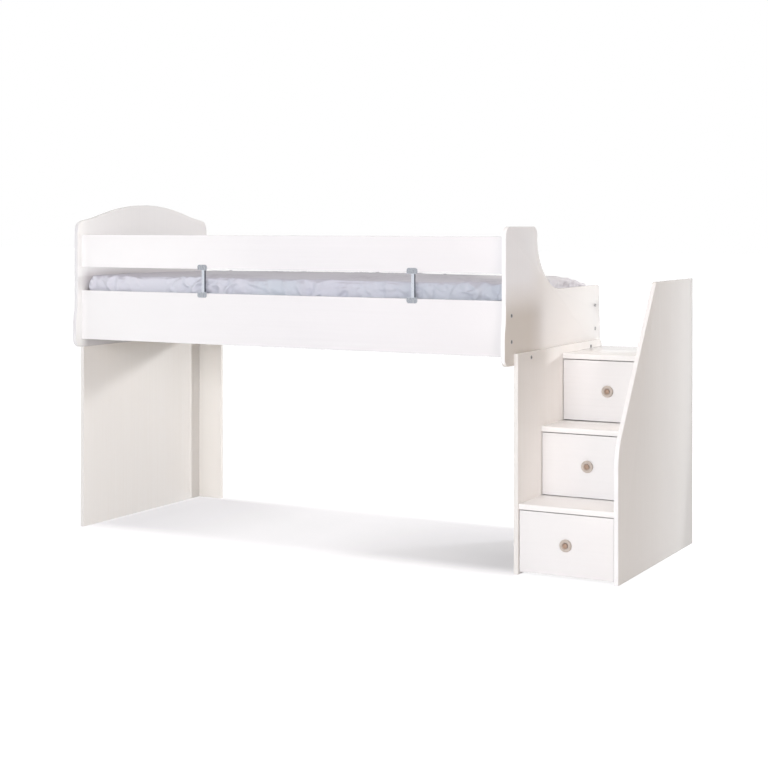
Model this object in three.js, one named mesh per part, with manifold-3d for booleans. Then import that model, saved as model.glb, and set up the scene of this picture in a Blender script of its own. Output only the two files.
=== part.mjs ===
// Mid sleeper bed with a storage staircase at its foot.
// Millimetres. +X runs from the headboard to the stair, +Y to the wall side, +Z up.
// The origin is on the floor, in the middle of the whole piece.
import * as THREE from "three";
import { mergeVertices } from "three/addons/utils/BufferGeometryUtils.js";
import Module from "manifold-3d";

const wasm = await Module();
wasm.setup();

// Boards
const board = 18;
const edgeRound = 1.5;

// Mattress
const mattressLength = 2033;
const mattressWidth = 888;
const mattressSide = 150;
const mattressCrown = 19;
const mattressRound = 46;
const mattressWaist = 7;
const mattressHeadGap = 6;
const mattressFootGap = 6;
const mattressSideGap = 6;
const mattressRest = 0.5;

// Staircase
const stairClear = 386;
const stairFrontSetback = 73;
const stairRearSetback = 16;
const stepRise = 272;
const stepGoing = 224;
const stepCount = 3;
const treadThickness = 22;
const treadSetback = 7;
const leftPanelAboveTread = 30;
const handPanelAboveTread = 298;
const slantBelowTread = 44;
const slantRun = 435;
const slantRound = 70;
const slantCrestRound = 16;
const leftPanelCorner = 28;
const backPanel = 8;

// Bed box round the mattress
const railInset = 28;
const railAboveTread = 18;
const railHeight = 215;
const guardGap = 103;
const guardHeight = 143;

// Headboard and footboard outlines
const endBelowRail = 35;
const lowerCorner = 35;
const endStep = 10;
const endStepBelowRailTop = 55;
const endStepHeight = 100;
const headAboveGuard = 134;
const headArchRadius = 1160;
const headArchHalf = 262;
const headShoulderIn = 42;
const headShoulderDrop = 72;
const footAboveGuard = 38;
const footTallWidth = 306;
const footFrontCorner = 42;
const footCrestCorner = 34;
const footCrestSide = 56;
const footSweepWidth = 214;
const footLowAboveRail = 30;
const endEdgeRound = 2;
const endCurveSteps = 14;

// Supports under the headboard end
const legSetback = 43;
const rearLegWidth = 128;
const rearLegHeadroom = 5;

// Slatted base
const mattressBelowRailTop = 84;
const ledgeWidth = 25;
const ledgeHeight = 30;
const slatCount = 13;
const slatWidth = 75;
const slatThickness = 15;
const slatSideGap = 3;

// Guard rail brackets
const bracketFromHead = 648;
const bracketFromFoot = 397;
const tabWidth = 47;
const tabOnBoard = 18;
const tabPastEdge = 5;
const tabThickness = 2.5;
const tabCorner = 9;
const stemWidth = 14;
const stemDepth = 11;
const stemSetback = 5;
const foldThickness = 3;

// Drawers and their side runners
const frontGap = 3;
const toeGap = 12;
const drawerBackRoom = 22;
const drawerBoxHeight = 150;
const drawerSide = 15;
const drawerBack = 12;
const drawerBottom = 6;
const drawerSideGap = 3;
const boxAboveFloor = 20;
const boxBottomLift = 10;
const grooveDepth = 8;
const runnerHeight = 17;
const runnerPlay = 0.4;
const runnerTipGap = 1;
const runnerStart = 4;
const runnerShortening = 20;

// Drawer pulls
const knobRadius = 24;
const knobHeight = 11;
const knobRim = 3;
const knobWell = 11;
const knobWellFloor = 3;
const knobWellLip = 1;
const knobWellFillet = 3;
const knobBevel = 4;

// Heights above the floor
const topTread = stepCount * stepRise;
const railBottom = topTread + railAboveTread;
const railTop = railBottom + railHeight;
const guardBottom = railTop + guardGap;
const guardTop = guardBottom + guardHeight;
const endBottom = railBottom - endBelowRail;
const endStepTop = railTop - endStepBelowRailTop;
const endStepBottom = endStepTop - endStepHeight;
const headTop = guardTop + headAboveGuard;
const footTop = guardTop + footAboveGuard;
const footLow = railTop + footLowAboveRail;
const slatTop = railTop - mattressBelowRailTop;
const slatBottom = slatTop - slatThickness;
const ledgeBottom = slatBottom - ledgeHeight;

// Places along Y
const innerWidth = mattressWidth + 2 * mattressSideGap;
const railInner = innerWidth / 2;
const railOuter = railInner + board;
const endHalf = railOuter + railInset;
const endLowerHalf = endHalf + endStep;
const legFront = -endHalf + legSetback;
const stairFront = -endHalf + stairFrontSetback;
const stairBack = endHalf - stairRearSetback;
const treadBack = stairBack - backPanel;

// Places along X, from the headboard's outer face
const innerLength = mattressHeadGap + mattressLength + mattressFootGap;
const totalLength = innerLength + stairClear + 4 * board;
const headOuter = -totalLength / 2;
const headInner = headOuter + board;
const footInner = headInner + innerLength;
const footOuter = footInner + board;
const stairInnerLeft = footOuter + board;
const stairInnerRight = stairInnerLeft + stairClear;
const stairMiddle = (stairInnerLeft + stairInnerRight) / 2;

// Colours of lacquered board, plain wood, cloth and metal
const white = 0xf3f2f3;
const warmWhite = 0xf1eeea;
const plainWood = 0xe9dfc9;
const steel = 0xb9bdc2;
const clothBlue = 0xc9cddb;
const pullBeige = 0xc8bcb2;
const runnerGrey = 0xd9d9d6;

const bed = new THREE.Group();
bed.name = "mid_sleeper_bed";

// Coordinates lie on a fine grid, so faces that meet share exactly one plane
function onGrid(value) {
  const perMillimetre = 1024;
  return Math.round(value * perMillimetre) / perMillimetre;
}

function snapToGrid(geometry) {
  const places = geometry.attributes.position;
  for (let index = 0; index < places.count; index += 1) {
    places.setXYZ(
      index,
      onGrid(places.getX(index)),
      onGrid(places.getY(index)),
      onGrid(places.getZ(index)),
    );
  }
  return geometry;
}

function weld(geometry) {
  geometry.deleteAttribute("normal");
  geometry.deleteAttribute("uv");
  return mergeVertices(snapToGrid(geometry), 1e-4);
}

// Adds a piece to a group: its own origin becomes the middle of its box
function addPiece(name, geometry, look, group = bed) {
  const solid = weld(geometry);
  solid.computeBoundingBox();
  const middle = solid.boundingBox.getCenter(new THREE.Vector3());
  middle.set(onGrid(middle.x), onGrid(middle.y), onGrid(middle.z));
  solid.translate(-middle.x, -middle.y, -middle.z);
  solid.computeVertexNormals();
  const mesh = new THREE.Mesh(solid, look());
  mesh.name = name;
  mesh.position.copy(middle);
  group.add(mesh);
}

// Surfaces
function lacquer() {
  return new THREE.MeshStandardMaterial({ color: white, roughness: 0.35, metalness: 0 });
}

function warmLacquer() {
  return new THREE.MeshStandardMaterial({ color: warmWhite, roughness: 0.38, metalness: 0 });
}

function bareWood() {
  return new THREE.MeshStandardMaterial({ color: plainWood, roughness: 0.6, metalness: 0 });
}

function zincSteel() {
  return new THREE.MeshStandardMaterial({ color: steel, roughness: 0.3, metalness: 1 });
}

function satinCloth() {
  return new THREE.MeshStandardMaterial({ color: clothBlue, roughness: 0.5, metalness: 0 });
}

function beigePull() {
  return new THREE.MeshStandardMaterial({ color: pullBeige, roughness: 0.35, metalness: 0 });
}

function greyPlastic() {
  return new THREE.MeshStandardMaterial({ color: runnerGrey, roughness: 0.5, metalness: 0 });
}

// A flat board cut to an outline, with softened edges round both faces
function cutBoard(outline, thickness, edge = edgeRound, curveSegments = 8) {
  const geometry = new THREE.ExtrudeGeometry(outline, {
    depth: thickness - 2 * edge,
    curveSegments,
    bevelEnabled: edge > 0,
    bevelThickness: edge,
    bevelSize: edge,
    bevelOffset: -edge,
    bevelSegments: 2,
  });
  return geometry.translate(0, 0, edge);
}

function rectangle(left, right, low, high) {
  const outline = new THREE.Shape();
  outline.moveTo(left, low);
  outline.lineTo(right, low);
  outline.lineTo(right, high);
  outline.lineTo(left, high);
  outline.closePath();
  return outline;
}

// Outline drawn in (Y, Z), thickness along +X from x
function standAlongX(geometry, x) {
  const across = new THREE.Vector3(0, 1, 0);
  const up = new THREE.Vector3(0, 0, 1);
  const through = new THREE.Vector3(1, 0, 0);
  return geometry.applyMatrix4(new THREE.Matrix4().makeBasis(across, up, through)).translate(x, 0, 0);
}

// Outline drawn in (X, Z), thickness along -Y from yBack
function standAlongY(geometry, yBack) {
  const across = new THREE.Vector3(1, 0, 0);
  const up = new THREE.Vector3(0, 0, 1);
  const through = new THREE.Vector3(0, -1, 0);
  return geometry.applyMatrix4(new THREE.Matrix4().makeBasis(across, up, through)).translate(0, yBack, 0);
}

// A rectangular board between two corners; the edges of its two large faces are soft
function boardBetween(low, high, edge = edgeRound) {
  const [x0, y0, z0] = low;
  const [x1, y1, z1] = high;
  const sizes = [x1 - x0, y1 - y0, z1 - z0];
  const thin = sizes.indexOf(Math.min(...sizes));
  if (thin === 0) return standAlongX(cutBoard(rectangle(y0, y1, z0, z1), sizes[0], edge), x0);
  if (thin === 1) return standAlongY(cutBoard(rectangle(x0, x1, z0, z1), sizes[1], edge), y1);
  return cutBoard(rectangle(x0, x1, y0, y1), sizes[2], edge).translate(0, 0, z0);
}

function solidFrom(geometry) {
  const welded = weld(geometry);
  return new wasm.Manifold(
    new wasm.Mesh({
      numProp: 3,
      vertProperties: new Float32Array(welded.attributes.position.array),
      triVerts: new Uint32Array(welded.index.array),
    }),
  );
}

function geometryFrom(solid) {
  const mesh = solid.getMesh();
  const geometry = new THREE.BufferGeometry();
  geometry.setAttribute("position", new THREE.BufferAttribute(new Float32Array(mesh.vertProperties), 3));
  geometry.setIndex(new THREE.BufferAttribute(new Uint32Array(mesh.triVerts), 1));
  return geometry;
}

// Lower half of both bed ends: rear S-step, rounded bottom corners, front S-step
function drawLowerEnd(outline) {
  const middle = (endStepTop + endStepBottom) / 2;
  const cornerZ = endBottom + lowerCorner;
  const cornerY = endLowerHalf - lowerCorner;
  outline.lineTo(endHalf, endStepTop);
  outline.bezierCurveTo(endHalf, middle, endLowerHalf, middle, endLowerHalf, endStepBottom);
  outline.lineTo(endLowerHalf, cornerZ);
  outline.absarc(cornerY, cornerZ, lowerCorner, 0, -Math.PI / 2, true);
  outline.lineTo(-cornerY, endBottom);
  outline.absarc(-cornerY, cornerZ, lowerCorner, -Math.PI / 2, Math.PI, true);
  outline.lineTo(-endLowerHalf, endStepBottom);
  outline.bezierCurveTo(-endLowerHalf, middle, -endHalf, middle, -endHalf, endStepTop);
}

// Camel-back headboard: a long arch that runs out to hollow shoulders
function headboard() {
  const archFall = headArchRadius - Math.sqrt(headArchRadius ** 2 - headArchHalf ** 2);
  const archSlope = headArchHalf / (headArchRadius - archFall);
  const archAngle = Math.asin(headArchHalf / headArchRadius);
  const archEndZ = headTop - archFall;
  const shoulderY = endHalf - headShoulderIn;
  const shoulderZ = headTop - headShoulderDrop;
  const sideZ = shoulderZ - 1.5 * headShoulderIn;
  const reach = (shoulderY - headArchHalf) / 2;
  const hollowZ = shoulderZ + 0.16 * reach;
  const slopeZ = archEndZ - archSlope * reach;
  const roundZ = shoulderZ - 0.12 * headShoulderIn;
  const roundY = shoulderY + 0.57 * headShoulderIn;
  const turnZ = shoulderZ - 0.3 * headShoulderIn;
  const outline = new THREE.Shape();
  outline.moveTo(-endHalf, endStepTop);
  outline.lineTo(-endHalf, sideZ);
  outline.bezierCurveTo(-endHalf, turnZ, -roundY, roundZ, -shoulderY, shoulderZ);
  outline.bezierCurveTo(reach - shoulderY, hollowZ, -headArchHalf - reach, slopeZ, -headArchHalf, archEndZ);
  outline.absarc(
    0,
    headTop - headArchRadius,
    headArchRadius,
    Math.PI / 2 + archAngle,
    Math.PI / 2 - archAngle,
    true,
  );
  outline.bezierCurveTo(headArchHalf + reach, slopeZ, shoulderY - reach, hollowZ, shoulderY, shoulderZ);
  outline.bezierCurveTo(roundY, roundZ, endHalf, turnZ, endHalf, sideZ);
  drawLowerEnd(outline);
  addPiece("headboard", standAlongX(cutBoard(outline, board, endEdgeRound, endCurveSteps), headOuter), lacquer);
}

// Footboard: tall beside the guard rail, then a sweep down to the step-in height
function footboard() {
  const crestY = -endHalf + footTallWidth;
  const sweepTop = footTop - footCrestSide;
  const sweepFall = sweepTop - footLow;
  const sweepEnd = crestY + footSweepWidth;
  const rearCorner = 8;
  const outline = new THREE.Shape();
  outline.moveTo(-endHalf, endStepTop);
  outline.lineTo(-endHalf, footTop - footFrontCorner);
  outline.absarc(
    -endHalf + footFrontCorner,
    footTop - footFrontCorner,
    footFrontCorner,
    Math.PI,
    Math.PI / 2,
    true,
  );
  outline.lineTo(crestY - footCrestCorner, footTop);
  outline.absarc(
    crestY - footCrestCorner,
    footTop - footCrestCorner,
    footCrestCorner,
    Math.PI / 2,
    0,
    true,
  );
  outline.lineTo(crestY, sweepTop);
  outline.bezierCurveTo(
    crestY + 0.02 * footSweepWidth,
    sweepTop - 0.39 * sweepFall,
    crestY + 0.43 * footSweepWidth,
    footLow + 0.07 * sweepFall,
    sweepEnd,
    footLow,
  );
  outline.lineTo(endHalf - rearCorner, footLow);
  outline.absarc(endHalf - rearCorner, footLow - rearCorner, rearCorner, Math.PI / 2, 0, true);
  drawLowerEnd(outline);
  addPiece("footboard", standAlongX(cutBoard(outline, board, endEdgeRound, endCurveSteps), footInner), lacquer);
}

// One wide panel at the headboard end and, at the wall side, a narrow board up to the rear rail
function headSupports() {
  const boardFront = railInner - board;
  const boardTop = ledgeBottom - rearLegHeadroom;
  const panel = boardBetween([headOuter, legFront, 0], [headInner, railInner, endBottom]);
  const rear = boardBetween([headInner, boardFront, 0], [headInner + rearLegWidth, railInner, boardTop]);
  addPiece("left_leg_panel", panel, warmLacquer);
  addPiece("rear_leg_board", rear, warmLacquer);
}

function rails() {
  const front = boardBetween([headInner, -railOuter, railBottom], [footInner, -railInner, railTop]);
  const rear = boardBetween([headInner, railInner, railBottom], [footInner, railOuter, railTop]);
  const guard = boardBetween([headInner, -railOuter, guardBottom], [footInner, -railInner, guardTop]);
  addPiece("front_side_rail", front, lacquer);
  addPiece("rear_side_rail", rear, lacquer);
  addPiece("guard_rail", guard, lacquer);
}

// A bracket tab seen from the front: square at its fold, round outside; direction is up or down
function bracketTab(direction, foldZ) {
  const half = tabWidth / 2;
  const reach = tabOnBoard + tabPastEdge;
  const inner = half - tabCorner;
  const outline = new THREE.Shape();
  outline.moveTo(-half, 0);
  outline.lineTo(half, 0);
  outline.lineTo(half, reach - tabCorner);
  outline.absarc(inner, reach - tabCorner, tabCorner, 0, Math.PI / 2, false);
  outline.absarc(-inner, reach - tabCorner, tabCorner, Math.PI / 2, Math.PI, false);
  outline.closePath();
  const plate = standAlongY(cutBoard(outline, tabThickness, 0.6, 5), -railOuter);
  if (direction < 0) {
    const plateMiddle = -railOuter - tabThickness / 2;
    plate.translate(0, -plateMiddle, 0).rotateY(Math.PI).translate(0, plateMiddle, 0);
  }
  return plate.translate(0, 0, foldZ);
}

// A tab on each board's face, folded back to an upright stem that crosses the gap
function railBracket(name, x) {
  const lowFold = railTop + tabPastEdge;
  const highFold = guardBottom - tabPastEdge;
  const stemHalf = stemWidth / 2;
  const stemFront = -railOuter + stemSetback;
  const stemBack = stemFront + stemDepth;
  const foldFront = -railOuter - tabThickness / 2;
  const fold = (z) => boardBetween([-stemHalf, foldFront, z], [stemHalf, stemBack, z + foldThickness], 0);
  const stem = boardBetween(
    [-stemHalf, stemFront, lowFold - foldThickness / 2],
    [stemHalf, stemBack, highFold + foldThickness / 2],
    0.8,
  );
  const parts = [
    bracketTab(1, highFold),
    bracketTab(-1, lowFold),
    fold(lowFold - foldThickness),
    fold(highFold),
    stem,
  ];
  const joined = parts.map(solidFrom).reduce((whole, next) => whole.add(next));
  addPiece(name, geometryFrom(joined).translate(x, 0, 0), zincSteel);
}

function slattedBase() {
  const ledge = (yLow, yHigh) =>
    boardBetween([headInner, yLow, ledgeBottom], [footInner, yHigh, slatBottom], 1);
  addPiece("front_slat_ledge", ledge(-railInner, -railInner + ledgeWidth), bareWood);
  addPiece("rear_slat_ledge", ledge(railInner - ledgeWidth, railInner), bareWood);
  const pitch = innerLength / slatCount;
  const slatHalf = slatWidth / 2;
  const slatEnd = railInner - slatSideGap;
  for (let index = 0; index < slatCount; index += 1) {
    const middle = headInner + pitch * (index + 0.5);
    const low = [middle - slatHalf, -slatEnd, slatBottom];
    const high = [middle + slatHalf, slatEnd, slatTop];
    addPiece(`slat_${index + 1}`, boardBetween(low, high, 2), bareWood);
  }
}

// Stations over half a size: close together where the edge turns, even between
function stations(half, evenSteps) {
  const turns = [0, 0.42, 1];
  const inner = half - mattressRound;
  const places = turns.map((turn) => ({ flat: -inner, turn: -turn })).reverse();
  for (let step = 1; step < evenSteps; step += 1) {
    places.push({ flat: -inner + (2 * inner * step) / evenSteps, turn: 0 });
  }
  return places.concat(turns.map((turn) => ({ flat: inner, turn })));
}

// A padded block: round edges, drawn-in sides and a low crown
function mattress() {
  const halfLength = mattressLength / 2;
  const halfWidth = mattressWidth / 2;
  const halfSide = mattressSide / 2;
  const along = stations(halfLength, 22);
  const across = stations(halfWidth, 10);
  const upright = stations(halfSide, 2);
  const block = new THREE.BoxGeometry(2, 2, 2, along.length - 1, across.length - 1, upright.length - 1);
  const places = block.attributes.position;
  const pick = (list, value) => list[Math.round(((value + 1) / 2) * (list.length - 1))];
  const corner = new THREE.Vector3();
  for (let index = 0; index < places.count; index += 1) {
    const a = pick(along, places.getX(index));
    const b = pick(across, places.getY(index));
    const c = pick(upright, places.getZ(index));
    corner.set(a.turn, b.turn, c.turn).normalize().multiplyScalar(mattressRound);
    const alongShare = (a.flat + corner.x) / halfLength;
    const acrossShare = (b.flat + corner.y) / halfWidth;
    const upShare = (c.flat + corner.z) / halfSide;
    const drawnIn = 1 - (mattressWaist * (1 - upShare ** 2)) / mattressRound;
    const crown = mattressCrown * (1 - alongShare ** 10) * (1 - acrossShare ** 2);
    places.setXYZ(
      index,
      a.flat + corner.x * drawnIn,
      b.flat + corner.y * drawnIn,
      c.flat + corner.z + crown * Math.max(0, upShare),
    );
  }
  const x = headInner + mattressHeadGap + halfLength;
  block.translate(x, 0, slatTop + mattressRest + halfSide);
  addPiece("mattress", block, satinCloth);
}

function treadTop(step) {
  return stepRise * (step + 1);
}

function treadFront(step) {
  return stairFront + treadSetback + stepGoing * step;
}

// Panel against the footboard: it ends just above the top tread
function stairLeftPanel() {
  const top = topTread + leftPanelAboveTread;
  const cornerY = stairBack - leftPanelCorner;
  const cornerZ = top - leftPanelCorner;
  const outline = new THREE.Shape();
  outline.moveTo(stairFront, 0);
  outline.lineTo(stairBack, 0);
  outline.lineTo(stairBack, cornerZ);
  outline.absarc(cornerY, cornerZ, leftPanelCorner, 0, Math.PI / 2, false);
  outline.lineTo(stairFront, top);
  outline.closePath();
  addPiece("stair_left_panel", standAlongX(cutBoard(outline, board), footOuter), warmLacquer);
}

// Outer panel: upright in front, then slanting back to hand height
function stairRightPanel() {
  const top = topTread + handPanelAboveTread;
  const foot = treadTop(1) - slantBelowTread;
  const crestY = stairFront + slantRun;
  const slantLength = Math.hypot(slantRun, top - foot);
  const runShare = slantRun / slantLength;
  const riseShare = (top - foot) / slantLength;
  const outline = new THREE.Shape();
  outline.moveTo(stairFront, 0);
  outline.lineTo(stairBack, 0);
  outline.lineTo(stairBack, top);
  outline.lineTo(crestY + slantCrestRound, top);
  outline.quadraticCurveTo(crestY, top, crestY - slantCrestRound * runShare, top - slantCrestRound * riseShare);
  outline.lineTo(stairFront + slantRound * runShare, foot + slantRound * riseShare);
  outline.quadraticCurveTo(stairFront, foot, stairFront, foot - slantRound);
  outline.closePath();
  addPiece("stair_right_panel", standAlongX(cutBoard(outline, board), stairInnerRight), warmLacquer);
}

function treadsAndBack() {
  const back = boardBetween([stairInnerLeft, treadBack, toeGap], [stairInnerRight, stairBack, topTread], 0.8);
  addPiece("stair_back_panel", back, warmLacquer);
  for (let step = 0; step < stepCount; step += 1) {
    const low = [stairInnerLeft, treadFront(step), treadTop(step) - treadThickness];
    const high = [stairInnerRight, treadBack, treadTop(step)];
    addPiece(`tread_${step + 1}`, boardBetween(low, high, 2), lacquer);
  }
}

// Height at which a drawer front starts, and at which it ends
function drawerFloor(step) {
  return step === 0 ? toeGap : treadTop(step - 1) + frontGap;
}

function drawerCeiling(step) {
  return treadTop(step) - treadThickness - frontGap;
}

// The shortest compartment sets the depth of all three boxes
const drawerBoxDepth = treadBack - treadFront(stepCount - 1) - board - drawerBackRoom;

// Round pull: a flat foot, a swelling ring and a small well in the middle
function pullGeometry() {
  const ringMiddle = (knobRadius + knobWell) / 2;
  const ringHalf = (knobRadius - knobWell) / 2;
  const ringSteps = 8;
  const profile = [
    new THREE.Vector2(0, 0),
    new THREE.Vector2(knobRadius - knobBevel, 0),
    new THREE.Vector2(knobRadius, knobRim),
  ];
  for (let step = 1; step < ringSteps; step += 1) {
    const angle = (Math.PI * step) / ringSteps;
    const swell = (knobHeight - knobRim) * Math.sin(angle) ** 0.8;
    profile.push(new THREE.Vector2(ringMiddle + ringHalf * Math.cos(angle), knobRim + swell));
  }
  profile.push(new THREE.Vector2(knobWell - knobWellLip, knobWellFloor + knobWellLip));
  profile.push(new THREE.Vector2(knobWell - knobWellFillet, knobWellFloor));
  profile.push(new THREE.Vector2(0, knobWellFloor));
  return new THREE.LatheGeometry(profile, 32).rotateX(Math.PI);
}

// Side of a drawer box: a board with a groove along its outer face; outward is -1 or 1
function groovedSide(outward, boxHeight) {
  const middle = boxHeight / 2;
  const grooveHalf = runnerHeight / 2 + runnerPlay;
  const outer = (outward * drawerSide) / 2;
  const bottomOfGroove = outer - outward * grooveDepth;
  const outline = new THREE.Shape();
  outline.moveTo(-outer, 0);
  outline.lineTo(outer, 0);
  outline.lineTo(outer, middle - grooveHalf);
  outline.lineTo(bottomOfGroove, middle - grooveHalf);
  outline.lineTo(bottomOfGroove, middle + grooveHalf);
  outline.lineTo(outer, middle + grooveHalf);
  outline.lineTo(outer, boxHeight);
  outline.lineTo(-outer, boxHeight);
  outline.closePath();
  return standAlongY(cutBoard(outline, drawerBoxDepth, 0), drawerBoxDepth);
}

// One drawer, in a group whose origin is the lower middle of the front's outer face
function drawer(step) {
  const name = `drawer_${step + 1}`;
  const group = new THREE.Group();
  group.name = name;
  group.position.set(onGrid(stairMiddle), onGrid(treadFront(step)), onGrid(drawerFloor(step)));
  bed.add(group);
  const frontHeight = drawerCeiling(step) - drawerFloor(step);
  const frontHalf = stairClear / 2 - frontGap;
  const boxHalf = stairClear / 2 - drawerSideGap;
  const insideHalf = boxHalf - drawerSide;
  const boxBack = board + drawerBoxDepth;
  const boxTop = boxAboveFloor + drawerBoxHeight;
  const panelLow = boxAboveFloor + boxBottomLift;
  const sideMiddle = boxHalf - drawerSide / 2;
  const front = boardBetween([-frontHalf, 0, 0], [frontHalf, board, frontHeight]);
  const back = boardBetween(
    [-insideHalf, boxBack - drawerBack, boxAboveFloor],
    [insideHalf, boxBack, boxTop],
    1,
  );
  const bottom = boardBetween(
    [-insideHalf, board, panelLow],
    [insideHalf, boxBack - drawerBack, panelLow + drawerBottom],
    0,
  );
  const left = groovedSide(-1, drawerBoxHeight).translate(-sideMiddle, board, boxAboveFloor);
  const right = groovedSide(1, drawerBoxHeight).translate(sideMiddle, board, boxAboveFloor);
  addPiece(`${name}_front`, front, lacquer, group);
  addPiece(`${name}_left_side`, left, lacquer, group);
  addPiece(`${name}_right_side`, right, lacquer, group);
  addPiece(`${name}_back`, back, lacquer, group);
  addPiece(`${name}_bottom`, bottom, lacquer, group);
  addPiece(`${name}_knob`, pullGeometry().translate(0, 0, frontHeight / 2), beigePull, group);
}

// A runner strip on each stair panel; the drawer's groove slides along it
function runnerPair(step) {
  const middle = drawerFloor(step) + boxAboveFloor + drawerBoxHeight / 2;
  const start = treadFront(step) + board + runnerStart;
  const end = start + drawerBoxDepth - runnerShortening;
  const reach = drawerSideGap + grooveDepth - runnerTipGap;
  const low = middle - runnerHeight / 2;
  const high = middle + runnerHeight / 2;
  const left = boardBetween([stairInnerLeft, start, low], [stairInnerLeft + reach, end, high], 1);
  const right = boardBetween([stairInnerRight - reach, start, low], [stairInnerRight, end, high], 1);
  addPiece(`runner_${step + 1}_left`, left, greyPlastic);
  addPiece(`runner_${step + 1}_right`, right, greyPlastic);
}

headboard();
footboard();
headSupports();
rails();
railBracket("guard_bracket_1", headInner + bracketFromHead);
railBracket("guard_bracket_2", footInner - bracketFromFoot);
slattedBase();
mattress();
stairLeftPanel();
stairRightPanel();
treadsAndBack();
for (let step = 0; step < stepCount; step += 1) {
  drawer(step);
  runnerPair(step);
}

export default bed;
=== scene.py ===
"""Mid sleeper bed with a storage staircase: looks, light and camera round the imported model.
Metres; +X runs from the headboard to the stair, +Y to the wall side, +Z up."""
import math

import bmesh
import bpy
import numpy as np
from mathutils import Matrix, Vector, noise

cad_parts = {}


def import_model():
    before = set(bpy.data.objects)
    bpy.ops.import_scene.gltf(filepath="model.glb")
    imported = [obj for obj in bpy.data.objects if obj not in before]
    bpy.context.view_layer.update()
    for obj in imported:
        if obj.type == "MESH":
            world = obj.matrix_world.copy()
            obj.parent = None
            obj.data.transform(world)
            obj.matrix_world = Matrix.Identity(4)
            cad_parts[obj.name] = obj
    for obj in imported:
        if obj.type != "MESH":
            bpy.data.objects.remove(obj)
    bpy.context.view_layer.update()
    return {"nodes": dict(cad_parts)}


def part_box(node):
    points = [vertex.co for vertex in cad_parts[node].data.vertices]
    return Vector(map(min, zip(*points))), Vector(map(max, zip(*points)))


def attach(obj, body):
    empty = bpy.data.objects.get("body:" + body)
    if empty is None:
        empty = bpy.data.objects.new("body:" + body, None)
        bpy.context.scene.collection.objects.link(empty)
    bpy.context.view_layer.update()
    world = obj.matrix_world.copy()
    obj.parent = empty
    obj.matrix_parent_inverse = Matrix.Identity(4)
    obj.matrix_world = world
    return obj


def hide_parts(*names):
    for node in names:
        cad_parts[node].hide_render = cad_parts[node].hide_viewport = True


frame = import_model()

X, Y, Z = range(3)
BED = "bed_and_stair"
STEPS = (1, 2, 3)
noise.seed_set(3)  # noise_vector would start from the clock otherwise

# Pulls: radius of the well, height of the lip's foot, steps round the lip, and points round ring and well
PULL_WELL, LIP_FOOT = 0.0105, 0.003
LIP_STEPS, LIP_FULLNESS = 22, 0.72
RING_POINTS, WELL_POINTS = 72, 48
# their sections as (distance past the radius, height): the ring's outside, its inside and the well's wall
RING_OUTSIDE = ((-0.003, 0), (-0.0008, 0.0008), (0, 0.0024))
RING_INSIDE = ((-0.0002, 0.0040), (-0.0005, 0.0028))
WELL_WALL = ((-0.0006, 0.0026), (-0.0003, 0.0104), (-0.0012, 0.0106), (-0.0017, 0.0042))
# and the raised middle of the well's floor as (radius, height)
WELL_FLOOR = ((0.0056, 0.0034), (0.0050, 0.0042), (0.0030, 0.0046), (0, 0.0047))

# Screw heads: (radius, height) along each section, and points round it
BOLT_RIM = ((0, 0.0002), (0.0076, 0.0001), (0.0078, 0.0006), (0.0072, 0.0011), (0.0060, 0.0010),
            (0.0052, 0.0004), (0, 0.0004))
BOLT_SOCKET = ((0, 0.0004), (0.0058, 0.0005), (0.0054, 0.0008), (0.0030, 0.0006), (0, 0.0005))
RIM_POINTS, SOCKET_POINTS = 36, 6
# and where they sit: heights on the end boards and the guard rail, and the pair on the stair
END_BOLTS = (("upper", 0.992), ("lower", 0.892))
GUARD_BOLTS = (("upper", 1.262), ("lower", 1.188))
STAIR_BOLTS, STAIR_BOLT_HEIGHT = (("front", -0.293), ("rear", 0.350)), 0.823
BOLT_FROM_FRONT_RAIL, BOLT_FROM_REAR_RAIL = 0.016, -0.011

# Mattress cover: room left in its box at each side, height of the crown, room above, edge radii and pitch
COVER_MARGIN, CROWN, COVER_ROOM = (0.001, 0.009, 0.0), 0.014, 0.004
COVER_RADII = (0.011, 0.022, 0.040)
EDGE_ANGLES = (11, 22, 33.75, 45)
PITCH, PITCH_QUICK = 0.0135, 0.024
COVER_LIFT, COVER_INSIDE, COVER_OUTSIDE = 0.0005, 0.0003, 0.004
# its slump at the corner by the foot end and the wall: depth, reach along each axis, and steepness
SLUMP, SLUMP_REACH, SLUMP_POWER = 0.034, (0.14, 0.22, 1.0), 1.3

# Ridges of loose cloth: (lean, seed) of both diagonals, the waver of their lines, and their steepness
RIDGE_WAYS = ((1, 3.7), (-1, 11.3))
WAVER_RATE, WAVER = 9.0, 0.012
RIDGE_SLOPE = 2.2
# the areas where they gather: least share, contrast, and rate along each axis
AREA_LEAST, AREA_GAIN, AREA_RATES = 0.3, 2.2, (3.1, 2.6, 2.0)
# broad folds, which the cloth simulation settles, and how much calmer they are on top
FOLD_RATE, FOLD_STRETCH, FOLD_POWER = 10.0, 0.86, 2.0
FOLD_HEIGHT, FOLD_CALM, FOLD_CAP = 0.042, 0.7, 0.013
FOLD_HOLD, FOLD_BASE = 0.4, 0.04
FOLD_SETTLE, FOLD_FRAMES = 8, 22
# sharp short creases, raised afterwards; REAR is for the half that lies to the wall
CREASE_RATE, CREASE_POWER = 20.0, 2.6
CREASE_HEIGHT, CREASE_HEIGHT_REAR, CREASE_CALM = 0.015, 0.008, 0.85
CREASE_SHIFT, CREASE_VALLEY = 0.4, 0.7
CLOTH = {
    "quality": 6, "mass": 0.15, "tension_stiffness": 30, "compression_stiffness": 30, "shear_stiffness": 10,
    "bending_stiffness": 0.05, "tension_damping": 8, "compression_damping": 8, "shear_damping": 5,
    "vertex_group_mass": "held", "pin_stiffness": 1.0,
}

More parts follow.
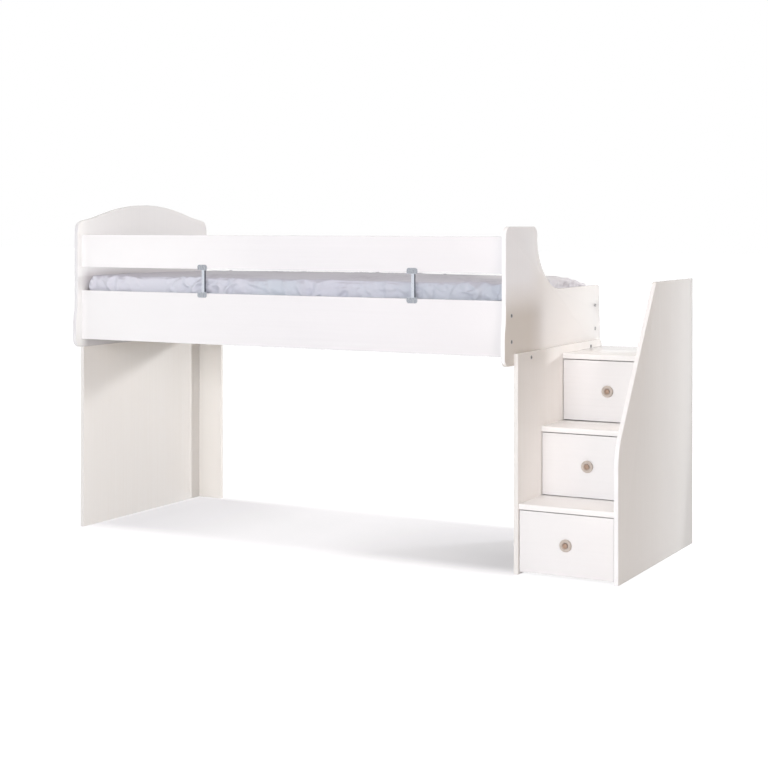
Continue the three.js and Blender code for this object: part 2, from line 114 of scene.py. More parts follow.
# Floor: what it throws back, what it shows of light and shade, and the glow that whitens it
FLOOR_SIZE = 60.0
FLOOR_PAPER, FLOOR_SEEN = (0.86, 0.86, 0.86), (0.34, 0.325, 0.355)
# under the bed the glow is kept low, which paints shade over the real shadow there: it runs from the leg
# panel over the middle to the stair, where it grows to the rear
GLOW_LEG, GLOW_MIDDLE, GLOW_STAIR, GLOW_OPEN = 0.58, 0.73, (0.44, 0.62), 0.85
GLOW_LEG_RUN, GLOW_STAIR_RUN, GLOW_REAR_RUN = (-1.1, -0.5), (-0.15, 0.7), (-0.15, 0.5)
# its soft sides: (corner of the bed, axis, start of the run past that corner, end of it)
GLOW_SIDES = (
    ("low", X, 0.06, -0.04), ("high", X, -0.06, 0.04), ("low", Y, 0.21, 0.0), ("high", Y, -0.12, -0.02),
)
# and how much it gains towards the horizon
GLOW_FAR, GLOW_FAR_RUN = 0.2, (2.0, 6.0)

# Camera: millimetres for the sensor and the lens, shares of the width for the shift
SENSOR, LENS, SHIFT = 36.0, 74.11, -0.2096
EYE, LINE_OF_SIGHT = (3.2764, -5.98615, 1.3466), (-0.4761, 0.8794, 0.0)

# Soft boxes: name, place, aim, width and height, watts, colour
LIGHTS = (
    ("front_light", (1.2, -6.5, 1.6), (0.3, 0, 0.8), (3.5, 2.4), 217, (0.965, 0.985, 1.0)),
    ("left_front_light", (-3.2, -6.0, 2.0), (-0.4, 0, 0.7), (3.0, 2.4), 50, (0.98, 0.985, 1.0)),
    ("right_front_light", (4.5, -5.0, 1.8), (0.3, 0, 0.7), (2.5, 2.5), 8, (1.0, 0.92, 0.84)),
    ("right_light", (5.5, -4.0, 2.2), (0.4, 0, 0.6), (2.0, 2.0), 77, (1.0, 0.87, 0.82)),
    ("key_light", (2.32, 2.20, 1.34), (-3.5, 2.2, 0.5), (0.3, 0.2), 67, (0.99, 0.99, 1.0)),
    ("top_light", (0.4, 0.2, 4.6), (0.2, 0, 0.5), (4.0, 3.0), 88, (1.0, 0.92, 0.85)),
    ("top_front_light", (1.6, -1.8, 3.4), (0.8, 0, 0.4), (2.0, 1.6), 7, (1.0, 0.95, 0.9)),
    ("left_light", (-5.5, -2.0, 2.0), (0, 0, 0.6), (2.5, 2.5), 66, (1.0, 1.0, 1.0)),
    ("side_light", (-6.0, 1.6, 1.9), (-1.2, 0.2, 0.7), (2.5, 2.0), 80, (1.0, 1.0, 1.0)),
    ("back_light", (0.0, 5.5, 2.0), (0, 0, 0.6), (4.0, 2.5), 27, (0.97, 0.98, 1.0)),
)


# Node helpers
class Nodes:
    """The node tree of a material or a world, and short words for adding and joining its nodes."""

    def __init__(self, owner):
        self.owner = owner
        owner.use_nodes = True
        self.tree = owner.node_tree

    def add(self, kind, inputs=None, **settings):
        """A new node with its settings and inputs."""
        made = self.tree.nodes.new("ShaderNode" + kind)
        for key, value in settings.items():
            setattr(made, key, value)
        for key, value in (inputs or {}).items():
            self.feed(made.inputs[key], value)
        return made

    def feed(self, socket, value):
        """Links another node's output to a socket, or sets a plain value there."""
        if isinstance(value, bpy.types.NodeSocket):
            self.tree.links.new(value, socket)
        else:
            socket.default_value = value

    def set(self, **inputs):
        """Inputs of the Principled shader, with underscores for spaces."""
        shader = self.tree.nodes["Principled BSDF"]
        for key, value in inputs.items():
            self.feed(shader.inputs[key.replace("_", " ")], value)

    def calc(self, operation, first, second, **settings):
        """Result of a Math node."""
        return self.add("Math", {0: first, 1: second}, operation=operation, **settings).outputs[0]

    def place(self, stretch=(1, 1, 1)):
        """Object coordinates, stretched."""
        where = self.add("TexCoord").outputs["Object"]
        return self.add("Mapping", {"Vector": where, "Scale": stretch}).outputs["Vector"]

    def where(self, kind, axis):
        """One part of the world Position or Normal of the point shaded."""
        return self.add("SeparateXYZ", {"Vector": self.add("NewGeometry").outputs[kind]}).outputs[axis]

    def noise(self, scale, detail, roughness=0.5, stretch=(1, 1, 1)):
        inputs = {"Vector": self.place(stretch), "Scale": scale, "Detail": detail, "Roughness": roughness}
        return self.add("TexNoise", inputs).outputs["Fac"]

    def span(self, value, low, high, start=0.3, end=0.7, **settings):
        """Brings a run of values, by default a noise's middle part, to the range from low to high."""
        inputs = {"Value": value, "From Min": start, "From Max": end, "To Min": low, "To Max": high}
        return self.add("MapRange", inputs, **settings).outputs["Result"]

    def blend(self, share, first, second):
        """Colour between two."""
        made = self.add("Mix", data_type="RGBA")
        for index, value in ((0, share), (6, first), (7, second)):
            self.feed(made.inputs[index], value)
        return made.outputs[2]

    def bump(self, height, distance, strength, below=None):
        """Normal of a fine relief, on top of another where one is given."""
        made = self.add("Bump", {"Height": height, "Distance": distance, "Strength": strength})
        if below is not None:
            self.feed(made.inputs["Normal"], below)
        return made.outputs["Normal"]

    def by_sight(self, unseen, seen):
        """One shader for the rays that light the scene, and one for the rays that show it."""
        rays = self.add("LightPath").outputs
        some = self.calc("ADD", rays["Is Camera Ray"], rays["Is Glossy Ray"], use_clamp=True)
        shown = self.calc("ADD", some, rays["Is Transmission Ray"], use_clamp=True)
        return self.add("MixShader", {0: shown, 1: unseen, 2: seen}).outputs[0]


def surface(name):
    return Nodes(bpy.data.materials.new(name))


def srgb(red, green, blue):
    """Linear colour from 0-255 display values."""
    def linear(v):
        v /= 255
        return v / 12.92 if v <= 0.04045 else ((v + 0.055) / 1.055) ** 2.4
    return (linear(red), linear(green), linear(blue), 1.0)


def along(axis, lengthwise, across):
    """Stretch for a grain that runs along an axis."""
    return tuple(lengthwise if i == axis else across for i in range(3))


# Materials
def lacquer(name, tint, shade, axis, towards=()):
    """Lacquer on board: the grain below just shows, and the film has a faint peel.
    towards lists tones of painted light and shade that the film takes on where all their runs meet,
    each of them as (tone, (kind, axis, start, end), ...)."""
    m = surface(name)
    grain = m.noise(1.0, 7, 0.62, along(axis, 1.6, 95))
    cloud = m.noise(1.3, 2)
    film = m.blend(m.span(cloud, 0, 0.5), m.blend(m.span(grain, 0, 1), shade, tint), tint)
    # painted light and shade, laid on by place and by the way a face looks
    for tone, *runs in towards:
        share = 1.0
        for kind, part, start, end in runs:
            share = m.calc("MULTIPLY", m.span(m.where(kind, part), 0, 1, start, end), share)
        film = m.blend(share, film, tone)
    m.set(Base_Color=film, Roughness=m.span(cloud, 0.11, 0.16))
    m.set(Normal=m.bump(m.noise(420, 2), 0.000004, 0.4, m.bump(grain, 0.00001, 0.35)))
    return m.owner


def edge(tone):
    """Painted light and shade on the faces that look to the front, in a tone set apart from the board's other
    faces by how the light falls on them.
    """
    return (tone, ("Normal", Y, -0.5, -0.9))


def softwood(name, axis):
    """Planed softwood with long growth lines and a few darker streaks."""
    m = surface(name)
    light, dark = srgb(236, 222, 196), srgb(217, 192, 152)
    bend = m.noise(2.2, 3, 0.5, along(axis, 0.5, 6))
    lines = m.noise(1.0, 9, 0.7, along(axis, 1.2, 150))
    wave = {"Vector": m.place(along(axis, 0.25, 11)), "Scale": 2.1, "Distortion": 5.5, "Detail": 3.0}
    share = m.calc("ADD", m.span(lines, 0, 0.55), m.add("TexWave", wave).outputs["Fac"])
    tone = m.blend(m.span(share, 0, 1, 0.2, 1.3), light, dark)
    m.set(Base_Color=m.blend(m.span(bend, 0, 0.35), tone, light), Roughness=m.span(lines, 0.5, 0.66))
    m.set(Normal=m.bump(lines, 0.0003, 0.6))
    return m.owner


def zinc(name, between=None):
    """Zinc on folded steel: dull on the tabs. On the stem between two heights it takes a painted highlight,
    with painted shade on its faces that turn to +X.
    """
    m = surface(name)
    drawn = m.noise(1.0, 5, 0.6, (900, 900, 30))
    tone = m.blend(m.span(m.noise(140, 3), 0, 1), srgb(170, 174, 181), srgb(184, 187, 194))
    if between:
        height = m.where("Position", Z)
        above, below = m.calc("GREATER_THAN", height, between[0]), m.calc("LESS_THAN", height, between[1])
        stem = m.calc("MULTIPLY", above, below)
        # painted shade on the stem's faces turned to +X, a painted highlight on the rest of the stem
        side = m.span(m.where("Normal", X), 0, 1, 0.3, 0.6)
        tone = m.blend(stem, tone, m.blend(side, srgb(219, 223, 232), srgb(92, 96, 104)))
    m.set(Base_Color=tone, Metallic=1.0, Roughness=m.span(drawn, 0.2, 0.36))
    m.set(Normal=m.bump(drawn, 0.00003, 0.5))
    return m.owner


def satin(name):
    """Bluish grey satin with lilac areas and a fine twill, and painted light and shade over it."""
    m = surface(name)
    twill = {"Vector": m.place(), "Scale": 900.0}
    weft = m.add("TexWave", twill, bands_direction="DIAGONAL").outputs["Fac"]
    slub = m.noise(1.0, 4, 0.6, (25, 380, 380))
    length, width, up = m.where("Position", X), m.where("Position", Y), m.where("Normal", Z)
    tone = m.blend(m.span(m.noise(3.2, 2), 0, 1), srgb(200, 207, 217), srgb(209, 207, 219))
    # painted light and shade: darker towards the foot end, lighter towards the head end, darker on faces that
    # look up where the guard rail shades the top, and lighter at the foot end on the wall side
    corner = m.calc("MULTIPLY", m.span(width, 0, 1, -0.2, 0.1), m.span(length, 0, 1, 0.4, 0.6))
    for share, other in (
            (m.span(slub, 0, 0.35), srgb(189, 193, 205)),
            (m.span(length, 0, 1, 0.0, 0.5), srgb(192, 196, 207)),
            (m.span(length, 1, 0, -1.0, -0.2), srgb(218, 218, 228)),
            (m.span(up, 0, 1, 0.5, 0.9), srgb(175, 174, 186)),
            (corner, srgb(227, 226, 232))):
        tone = m.blend(share, tone, other)
    m.set(Base_Color=tone, Roughness=m.span(slub, 0.36, 0.5))
    m.set(Normal=m.bump(weft, 0.00004, 0.4, m.bump(slub, 0.0002, 0.35)))
    return m.owner


def plastic(m, share, first, second, rough):
    """Moulded plastic between two tones, with a slight mottle."""
    m.set(Base_Color=m.blend(share, first, second), Roughness=m.span(m.noise(90, 3), rough, rough + 0.1))
    m.set(Normal=m.bump(m.noise(900, 2), 0.00002, 0.4))
    return m.owner


def moulded(name, light, dark, rough):
    m = surface(name)
    return plastic(m, m.span(m.noise(90, 3), 0, 1), dark, light, rough)


def recess(name, floor_tone, painted_wall_shade, rough):
    """Plastic of a well: its floor in its own tone, and its wall darker with painted shade of the recess."""
    m = surface(name)
    return plastic(m, m.span(m.where("Normal", Y), 0, 1, -0.8, -0.4), floor_tone, painted_wall_shade, rough)


WHITE, WHITE_SHADE = srgb(245, 244, 246), srgb(242, 241, 243)
WARM, WARM_SHADE = srgb(245, 242, 239), srgb(242, 238, 234)
# heights between which the brackets' stem takes its painted highlight and shade
STEM_HIGHLIGHT_BAND = (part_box("front_side_rail")[1].z + 0.004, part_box("guard_rail")[0].z - 0.004)
MATERIALS = {
    # rail lacquer: a darker copy of the white, painted shade under the strong front light; painted light
    # towards the headboard end, more of it on the guard rail, and painted shade towards the stair end
    "rail_x": lacquer("rail_lacquer_long_grain", srgb(237, 235, 238), srgb(234, 232, 235), X, (
        (srgb(248, 246, 247), ("Position", X, -0.1, -1.15)),
        (srgb(253, 251, 252), ("Position", X, -0.3, -1.15), ("Position", Z, 1.10, 1.15)),
        (srgb(233, 231, 234), ("Position", X, 0.1, 0.8)))),
    # tread lacquer: a lighter copy of the white, painted light on the treads
    "tread_x": lacquer("tread_lacquer_long_grain", srgb(248, 246, 246), srgb(245, 243, 243), X),
    # headboard lacquer: a darker copy of the white, painted shade; painted light towards its front and on the
    # strip beside the rails' ends, painted shade towards the rear, a painted shadow of the guard rail on its
    # inner face below that rail, and a painted tone on its front faces
    "head_z": lacquer("head_lacquer_upright_grain", srgb(230, 230, 231), srgb(227, 227, 228), Z, (
        (srgb(243, 243, 244), ("Position", Y, -0.05, -0.5)),
        (srgb(250, 250, 250), ("Position", Y, -0.42, -0.48)),
        (srgb(226, 225, 226), ("Position", Y, 0.1, 0.5)),
        (srgb(204, 201, 204),
         ("Position", Z, 1.15, 1.12), ("Normal", X, 0.3, 0.8), ("Position", Y, -0.47, -0.42)),
        edge(srgb(233, 231, 234)))),
    # footboard lacquer: painted shadow, darker and warmer, over its lower part where the stair's right panel
    # shades it; painted shade towards its rear; its front faces stay white, free of the painted shadow
    "foot_z": lacquer("foot_lacquer_upright_grain", WHITE, WHITE_SHADE, Z, (
        (srgb(232, 226, 219), ("Position", Z, 1.12, 0.98)),
        (srgb(240, 237, 235), ("Position", Y, -0.28, -0.14)),
        edge(WHITE))),
    "warm_x": lacquer("warm_lacquer_long_grain", WARM, WARM_SHADE, X),
    # stair panel lacquer: painted shade on their front faces
    "warm_z": lacquer("warm_lacquer_upright_grain", WARM, WARM_SHADE, Z, (edge(srgb(236, 233, 231)),)),
    # right stair panel lacquer: painted shade towards its rear; its front faces stay white
    "right_z": lacquer("right_panel_lacquer", WARM, WARM_SHADE, Z, (
        (srgb(231, 227, 224), ("Position", Y, 0.05, 0.46)),
        edge(WHITE))),
    # leg panel lacquer: a darker copy of the white, painted shade, and darker still on its front faces,
    # painted shade there too
    "leg_z": lacquer("leg_lacquer_upright_grain", srgb(241, 239, 237), srgb(238, 235, 232), Z, (
        edge(srgb(234, 231, 229)),)),
    # rear leg board lacquer: a lighter copy of the white, painted light where little light reaches under the
    # bed
    "rear_z": lacquer("rear_leg_lacquer_upright_grain", srgb(252, 249, 245), srgb(250, 246, 242), Z),
    # drawer front lacquer: a darker copy of the white, painted shade against the light they catch
    "drawer_x": lacquer("drawer_lacquer_long_grain", srgb(240, 238, 239), srgb(237, 235, 236), X),
    "wood_x": softwood("softwood_long", X),
    "wood_y": softwood("softwood_cross", Y),
    "zinc": zinc("zinc_plated_steel"),
    "bracket": zinc("zinc_plated_bracket", STEM_HIGHLIGHT_BAND),
    "satin": satin("satin_cloth"),
    "runner": moulded("runner_plastic", srgb(222, 222, 219), srgb(212, 212, 208), 0.38),
    "ring": moulded("pull_ring_plastic", srgb(201, 190, 182), srgb(192, 180, 171), 0.26),
    # pull well: copper-coloured floor, and painted shade on its wall
    "well": recess("pull_well_copper", srgb(190, 165, 148), srgb(120, 99, 87), 0.3),
    # bolt sockets: a flat disc in painted shade stands in for the dark hex hole; the pale one is lighter
    # where light falls on the rear bolts
    "socket": moulded("bolt_socket_painted_shade", srgb(96, 88, 80), srgb(70, 63, 57), 0.35),
    "socket_pale": moulded("bolt_socket_painted_shade_pale", srgb(176, 171, 167), srgb(150, 145, 141), 0.35),
}
# Materials of the CAD nodes by the start and the end of their names; the first that fits is taken
DRESS = (
    ("", "_ledge", "wood_x"), ("", "_knob", "ring"), ("", "_rail", "rail_x"),
    ("slat_", "", "wood_y"), ("runner", "", "runner"),
    ("headboard", "", "head_z"), ("footboard", "", "foot_z"),
    ("left_leg", "", "leg_z"), ("rear_leg", "", "rear_z"),
    ("stair_right", "", "right_z"), ("stair_", "", "warm_z"), ("tread", "", "tread_x"),
    ("guard_bracket", "", "bracket"), ("drawer", "_front", "drawer_x"), ("drawer", "", "warm_x"),
    ("mattress", "", "satin"),
)
# Their points closer than this are one, and their edges that turn by more degrees than this stay crisp
WELD_WITHIN, CRISP_OVER = 1e-6, 35


def dress_nodes():
    """Materials of the CAD nodes, smooth shading on their curved runs and crisp corners on their boards."""
    for name, node in frame["nodes"].items():
        key = next(k for start, end, k in DRESS if name.startswith(start) and name.endswith(end))
        node.data.materials.clear()
        node.data.materials.append(MATERIALS[key])
        weld = node.modifiers.new("weld", "WELD")
        weld.merge_threshold = WELD_WITHIN
        node.data.shade_smooth()
        split = node.modifiers.new("corners", "EDGE_SPLIT")
        split.split_angle = math.radians(CRISP_OVER)
        split.use_edge_sharp = False


def linked(name, data):
    """An object in the scene that shows this data."""
    made = bpy.data.objects.new(name, data)
    bpy.context.scene.collection.objects.link(made)
    return made


def mesh_piece(name, points, faces, material, body, smooth=True):
    """A piece of the object from points and faces, riding on a body."""
    mesh = bpy.data.meshes.new(name)
    mesh.from_pydata([tuple(p) for p in points], [], faces)
    mesh.validate()
    if smooth:
        mesh.shade_smooth()
    mesh.materials.append(MATERIALS[material])
    obj = linked(name, mesh)
    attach(obj, body)
    return obj


# Pulls and bolts
def turned(profile, centre, out, count):
    """A turned closed form: profile is (radius, height along out), both ends on the axis."""
    out, up = Vector(out), Vector((0, 0, 1))
    side = out.cross(up)
    points, faces = [centre + out * profile[0][1]], []
    for radius, height in profile[1:-1]:
        for k in range(count):
            turn = 2 * math.pi * k / count
            points.append(centre + out * height + (up * math.cos(turn) + side * math.sin(turn)) * radius)
    points.append(centre + out * profile[-1][1])
    rings = len(profile) - 2
    last = 1 + (rings - 1) * count
    for k in range(count):
        after = (k + 1) % count
        faces.append((0, 1 + k, 1 + after))
        for ring in range(rings - 1):
            a, b = 1 + ring * count, 1 + (ring + 1) * count
            faces.append((a + k, b + k, b + after, a + after))
        faces.append((last + k, len(points) - 1, last + after))
    return points, faces


def past(radius, section):
    """The part of a section that is given by its distance past a radius."""
    return [(radius + distance, height) for distance, height in section]


def pull(step):
    """Round pull: a swelling ring with a rolled lip and a copper-coloured well."""
    node, body = f"drawer_{step}_knob", f"drawer_{step}"
    low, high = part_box(node)
    front = Vector(((low.x + high.x) / 2, high.y, (low.z + high.z) / 2))
    radius, height, out = (high.x - low.x) / 2, high.y - low.y, (0, -1, 0)
    lip, half = (radius + PULL_WELL) / 2, (radius - PULL_WELL) / 2
    bead = [(0, 0), *past(radius, RING_OUTSIDE)]
    for k in range(1, LIP_STEPS):
        turn = math.pi * k / LIP_STEPS
        rise = (height - LIP_FOOT) * math.sin(turn) ** LIP_FULLNESS
        bead.append((lip + half * math.cos(turn), LIP_FOOT + rise))
    bead += [*past(PULL_WELL, RING_INSIDE), (0, RING_INSIDE[-1][1])]
    dish = [(0, WELL_WALL[0][1]), *past(PULL_WELL, WELL_WALL), *WELL_FLOOR]
    points, faces = turned(bead, front, out, RING_POINTS)
    ring = mesh_piece(f"pull_{step}_ring", points, faces, "ring", body)
    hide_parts(node)
    points, faces = turned(dish, front, out, WELL_POINTS)
    mesh_piece(f"pull_{step}_well", points, faces, "well", body)


def bolt(name, centre, out, inside="socket"):
    """Head of a cross bolt: a thin dished rim with a six-sided socket, drawn as a flat dark disc whose colour
    is painted shade in the socket's hole.
    """
    points, faces = turned(BOLT_RIM, Vector(centre), out, RIM_POINTS)
    mesh_piece(f"{name}_rim", points, faces, "zinc", BED)
    points, faces = turned(BOLT_SOCKET, Vector(centre), out, SOCKET_POINTS)
    mesh_piece(f"{name}_socket", points, faces, inside, BED, smooth=False)


def bolts():
    """Screw heads on the outer faces of both end boards and on the stair's left panel."""
    left, right = (-1, 0, 0), (1, 0, 0)
    foot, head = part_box("footboard")[1].x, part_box("headboard")[0].x
    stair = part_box("stair_left_panel")[1].x
    low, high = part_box("front_side_rail")
    rail = (low.y + high.y) / 2
    front, rear = rail + BOLT_FROM_FRONT_RAIL, -rail + BOLT_FROM_REAR_RAIL
    # the footboard's rear bolts take the paler painted shade in their sockets, where the light falls
    for side, y, inside in (("front", front, "socket"), ("rear", rear, "socket_pale")):
        for level, z in END_BOLTS:
            bolt(f"foot_bolt_{side}_{level}", (foot, y, z), right, inside)
            bolt(f"head_bolt_{side}_{level}", (head, y, z), left)
    for side, y in STAIR_BOLTS:
        bolt(f"stair_bolt_{side}", (stair, y, STAIR_BOLT_HEIGHT), right)
    for level, z in GUARD_BOLTS:
        bolt(f"guard_bolt_head_{level}", (head, front, z), left)


# Mattress
def stations(half, radius, pitch):
    """Places over a length: flat part plus how far the rounded edge has turned, -1 to 1."""
    turns = [math.tan(math.radians(angle)) for angle in EDGE_ANGLES]
    inner = half - radius
    steps = max(2, round(2 * inner / pitch))
    left = [(-inner, -t) for t in reversed(turns)]
    flat = [(-inner + 2 * inner * k / steps, 0.0) for k in range(steps + 1)]
    right = [(inner, t) for t in turns]
    return left + flat + right


def padded_block(half, radii, pitch):
    """Quads over a box with round edges; returns points and faces."""
    lists = [stations(h, r, pitch) for h, r in zip(half, radii)]
    sizes = [len(s) for s in lists]
    index, points, faces = {}, [], []

    def point(*key):
        if key not in index:
            picks = [lists[axis][key[axis]] for axis in range(3)]
            turn = Vector([pick[1] for pick in picks]).normalized()
            points.append(Vector([picks[a][0] + turn[a] * radii[a] for a in range(3)]))
            index[key] = len(points) - 1
        return index[key]

    for axis in range(3):
        u, v = [a for a in range(3) if a != axis]
        for end in (0, sizes[axis] - 1):
            for a in range(sizes[u] - 1):
                for b in range(sizes[v] - 1):
                    quad = []
                    for da, db in ((0, 0), (1, 0), (1, 1), (0, 1)):
                        at = [0, 0, 0]
                        at[axis], at[u], at[v] = end, a + da, b + db
                        quad.append(point(*at))
                    flip = (end == 0) != (axis == 1)
                    faces.append(tuple(reversed(quad)) if flip else tuple(quad))
    return points, faces


def slack(p, rate=FOLD_RATE, power=FOLD_POWER):
    """Height of the loose folds at a point: diagonal ridges, gathered in a few areas."""
    rise = 0.0
    for lean, seed in RIDGE_WAYS:
        way = (p.x + lean * (p.y + p.z)) / 3 ** 0.5
        flow = Vector((p.x, p.y, p.z)) - Vector((1, lean, lean)) * way / 3 ** 0.5 * FOLD_STRETCH
        warp = noise.noise_vector(p * WAVER_RATE) * WAVER
        ridge = 1 - RIDGE_SLOPE * abs(noise.noise((flow + warp) * rate + Vector((seed, seed, 0))))
        spot = Vector((p.x * AREA_RATES[X] + seed, p.y * AREA_RATES[Y], p.z * AREA_RATES[Z] + lean))
        area = AREA_LEAST + AREA_GAIN * noise.noise(spot)
        rise = max(rise, max(0.0, ridge) ** power * min(1.0, max(0.0, area)))
    return rise


def trial_object(name, points, faces):
    """An object to simulate on. Its edges come in the same order on any number of threads."""
    form = bmesh.new()
    corners = [form.verts.new(tuple(p)) for p in points]
    for face in faces:
        form.faces.new([corners[i] for i in face])
    mesh = bpy.data.meshes.new(name)
    form.to_mesh(mesh)
    form.free()
    return linked(name, mesh)


def discard(trial):
    """Removes a trial object with its mesh and the action of its shape keys."""
    mesh = trial.data
    moves = mesh.shape_keys.animation_data.action if mesh.shape_keys else None
    bpy.data.objects.remove(trial)
    bpy.data.meshes.remove(mesh)
    if moves:
        bpy.data.actions.remove(moves)


def wrinkled(points, faces):
    """Lets a cover with loose cloth settle over its soft filling."""
    trial = trial_object("cover_trial", points, faces)
    lowest, highest = min(p.z for p in points), max(p.z for p in points)
    outward = [v.normal.copy() for v in trial.data.vertices]
    trial.shape_key_add(name="filling")
    loose = trial.shape_key_add(name="loose")
    held = trial.vertex_groups.new(name="held")
    for i, p in enumerate(points):
        calm = 1 - FOLD_CALM * max(0.0, outward[i].z)
        loose.data[i].co = p + outward[i] * slack(p) * FOLD_HEIGHT * calm
        height = (p.z - lowest) / (highest - lowest)
        held.add([i], 1.0 if height < FOLD_BASE else FOLD_HOLD, "REPLACE")
    for moment, share in ((1, 1.0), (FOLD_SETTLE, 0.0)):
        loose.value = share
        loose.keyframe_insert("value", frame=moment)
    cloth = trial.modifiers.new("cloth", "CLOTH")
    for key, value in CLOTH.items():
        setattr(cloth.settings, key, value)
    cloth.settings.effector_weights.gravity = 0
    cloth.collision_settings.use_collision = False
    cloth.point_cache.frame_start, cloth.point_cache.frame_end = 1, FOLD_FRAMES
    scene = bpy.context.scene
    scene.frame_set(1)
    for step in range(1, FOLD_FRAMES + 1):
        scene.frame_set(step)
    shown = trial.evaluated_get(bpy.context.evaluated_depsgraph_get())
    settled = np.empty(len(points) * 3)
    shown.data.vertices.foreach_get("co", settled)
    scene.frame_set(1)
    discard(trial)
    start = np.array([tuple(p) for p in points])
    move = settled.reshape(-1, 3) - start
    far = np.linalg.norm(move, axis=1, keepdims=True)
    return start + move * (FOLD_CAP * np.tanh(far / FOLD_CAP) / np.maximum(far, 1e-9))


def creased(places, faces, centre):
    """Halves the pitch and adds the sharp short creases of satin that is pulled tight."""
    trial = trial_object("crease_trial", places, faces)
    finer = trial.modifiers.new("finer", "SUBSURF")
    finer.levels = 1
    shown = trial.evaluated_get(bpy.context.evaluated_depsgraph_get()).data
    points = np.array([tuple(v.co) for v in shown.vertices])
    outward = np.array([tuple(n.vector) for n in shown.vertex_normals])
    quads = [tuple(face.vertices) for face in shown.polygons]
    discard(trial)
    rise, fall = (np.array([slack(Vector(p - centre + shift), CREASE_RATE, CREASE_POWER) for p in points])
                  for shift in (0.0, CREASE_SHIFT))
    height = np.where(points[:, Y] < centre[Y], CREASE_HEIGHT, CREASE_HEIGHT_REAR)
    height *= 1 - CREASE_CALM * np.clip(outward[:, Z], 0, 1)
    return points + outward * (height * (rise - CREASE_VALLEY * fall))[:, None], quads


def mattress():
    """The padded mattress: a block with a crown and a slump, in a cover with folds and creases."""
    low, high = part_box("mattress")
    centre = (low + high) / 2
    half = (high - low) / 2 - Vector(COVER_MARGIN)
    half.z = (high.z - low.z - CROWN) / 2 - COVER_ROOM
    points, faces = padded_block(half, COVER_RADII, PITCH)
    places = wrinkled(points, faces)
    share = np.clip(places / np.array(half), -1, 1)
    upper = np.clip(share[:, Z], 0, 1)
    places[:, Z] += CROWN * (1 - share[:, X] ** 4) * (1 - share[:, Y] ** 2) * upper
    far = np.clip((np.array(half) - places) / np.array(SLUMP_REACH), 0, 1)
    places[:, Z] -= SLUMP * ((1 - far[:, X]) * (1 - far[:, Y])) ** SLUMP_POWER * upper
    places += np.array((centre.x, centre.y, low.z + half.z + COVER_LIFT))
    places = np.clip(places, np.array(low) + COVER_INSIDE, np.array(high) + COVER_OUTSIDE)
    places, faces = creased(places, faces, np.array(centre))
    cover = mesh_piece("mattress_cover", places.tolist(), faces, "satin", BED)
    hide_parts("mattress")


# Stage, light and camera
def aim(thing, place, way):
    """Puts a lamp or a camera at a place and turns it to look along a direction."""
    thing.location = place
    thing.rotation_mode = "QUATERNION"
    thing.rotation_quaternion = way.to_track_quat("-Z", "Y")


def area_light(name, place, target, size, power, colour):
    """A soft box that leaves no glare on the lacquer."""
    data = bpy.data.lights.new(name, "AREA")
    data.shape, data.size, data.size_y = "RECTANGLE", size[0], size[1]
    data.energy, data.color = power, colour
    lamp = linked(name, data)
    aim(lamp, place, Vector(target) - Vector(place))
    lamp.visible_glossy = False


def floor_glow(m):
    """Strength of the floor's glow: low and uneven under the bed, higher outside, and most at the horizon.
    The low glow under the bed paints shade there, darkest by the stair.
    """
    across = m.add("SeparateXYZ", {"Vector": m.place()}).outputs
    leg = m.span(across[X], GLOW_LEG, GLOW_MIDDLE, *GLOW_LEG_RUN)
    stair = m.span(across[Y], *GLOW_STAIR, *GLOW_REAR_RUN)
    under = m.span(across[X], leg, stair, *GLOW_STAIR_RUN)
    corners = {"low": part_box("headboard")[0], "high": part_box("footboard")[1]}
    share = 0.0
    for corner, axis, start, end in GLOW_SIDES:
        side = corners[corner][axis]
        past = m.span(across[axis], 0, 1, side + start, side + end, interpolation_type="SMOOTHSTEP")
        share = m.calc("MAXIMUM", past, share)
    reach = m.add("VectorMath", {0: m.place()}, operation="LENGTH").outputs["Value"]
    return m.calc("ADD", m.span(share, under, GLOW_OPEN, 0, 1), m.span(reach, 0.0, GLOW_FAR, *GLOW_FAR_RUN))


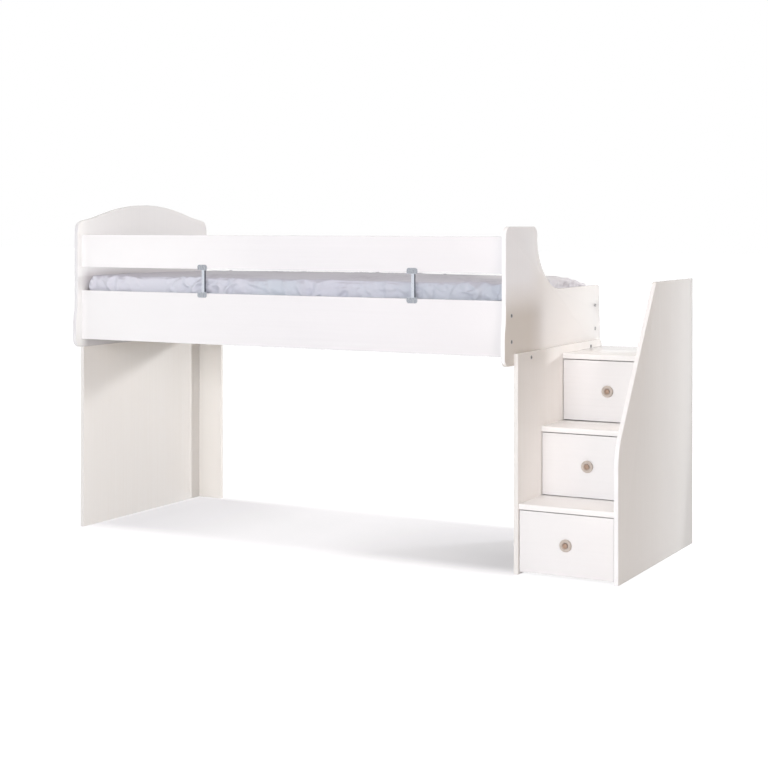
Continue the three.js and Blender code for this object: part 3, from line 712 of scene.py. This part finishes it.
def floor():
    """Pale floor: white to the camera where nothing shades it, and white towards the horizon; under the bed
    painted shade from a lower glow adds to the real shadow.
    """
    mesh = bpy.data.meshes.new("floor")
    corners = [(x * FLOOR_SIZE, y * FLOOR_SIZE, 0) for x, y in ((-1, -1), (1, -1), (1, 1), (-1, 1))]
    mesh.from_pydata(corners, [], [(0, 1, 2, 3)])
    m = surface("floor_paper")
    m.tree.nodes.remove(m.tree.nodes["Principled BSDF"])
    paper = m.add("BsdfDiffuse", {"Color": (*FLOOR_PAPER, 1)}).outputs[0]
    seen = m.add("BsdfDiffuse", {"Color": (*FLOOR_SEEN, 1)}).outputs[0]
    glow = m.add("Emission", {"Color": (1, 1, 1, 1), "Strength": floor_glow(m)}).outputs[0]
    lit = m.add("AddShader", {0: glow, 1: seen}).outputs[0]
    plain = m.add("Emission", {"Color": (1, 1, 1, 1), "Strength": 1.0}).outputs[0]
    glossy = m.add("LightPath").outputs["Is Glossy Ray"]
    bright = m.add("MixShader", {0: glossy, 1: lit, 2: plain}).outputs[0]
    m.feed(m.tree.nodes["Material Output"].inputs["Surface"], m.by_sight(paper, bright))
    mesh.materials.append(m.owner)
    obj = linked("floor", mesh)


def world():
    """White behind everything, and no light of its own: the soft boxes do all the lighting."""
    made = bpy.data.worlds.new("studio")
    bpy.context.scene.world = made
    m = Nodes(made)
    dark, white = m.tree.nodes["Background"], m.add("Background")
    for background, tone in ((dark, 0.0), (white, 1.0)):
        m.feed(background.inputs["Color"], (tone, tone, tone, 1))
        m.feed(background.inputs["Strength"], 1.0)
    m.feed(m.tree.nodes["World Output"].inputs["Surface"], m.by_sight(dark.outputs[0], white.outputs[0]))


def camera():
    """The photograph's camera: level, with its frame shifted down."""
    data = bpy.data.cameras.new("camera")
    data.sensor_width, data.lens, data.shift_y = SENSOR, LENS, SHIFT
    eye = linked("camera", data)
    aim(eye, EYE, Vector(LINE_OF_SIGHT))
    bpy.context.scene.camera = eye


dress_nodes()
for number in STEPS:
    pull(number)
bolts()
mattress()
floor()
world()
for light in LIGHTS:
    area_light(*light)
camera()
bpy.context.scene.view_settings.view_transform = "Standard"
